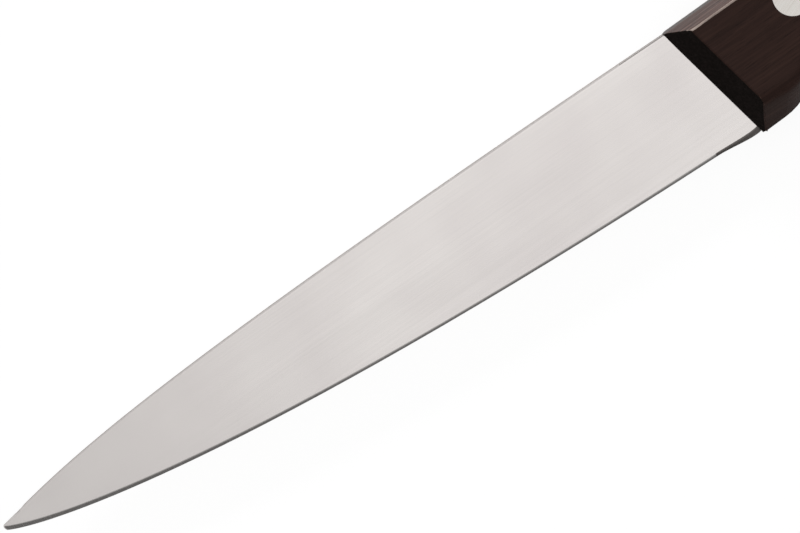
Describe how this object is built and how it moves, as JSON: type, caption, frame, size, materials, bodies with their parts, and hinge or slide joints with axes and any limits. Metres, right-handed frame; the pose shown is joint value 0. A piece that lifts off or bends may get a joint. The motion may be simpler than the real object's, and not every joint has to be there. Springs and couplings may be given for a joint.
{
  "type": "fillet knife",
  "caption": "Slim flexible fillet knife: pointed flat-ground blade with full tang between bevelled dark wooden handle scales, held by flush rivets.",
  "frame": {"origin": "bottom centre of the knife's box as it lies on its side: z = 0 is the flat side of the lower scale", "axes": "+X runs along the knife from the tip towards the butt; +Y towards the spine; +Z out of the upper scale's flat side, across the handle's thickness"},
  "size_m": [0.2796, 0.029, 0.016],
  "materials": {
    "blade_steel": "satin, polished lengthwise",
    "rosewood": "dark oiled rosewood, fine sanded",
    "nickel_silver": "nickel silver, sanded flush"
  },
  "bodies": {
    "root": {"blade": "blade_steel", "upper_scale": "rosewood", "lower_scale": "rosewood", "front_rivet_stud": "nickel_silver", "front_rivet_sleeve": "nickel_silver", "middle_rivet_stud": "nickel_silver", "middle_rivet_sleeve": "nickel_silver", "rear_rivet_stud": "nickel_silver", "rear_rivet_sleeve": "nickel_silver"}
  },
  "joints": []
}
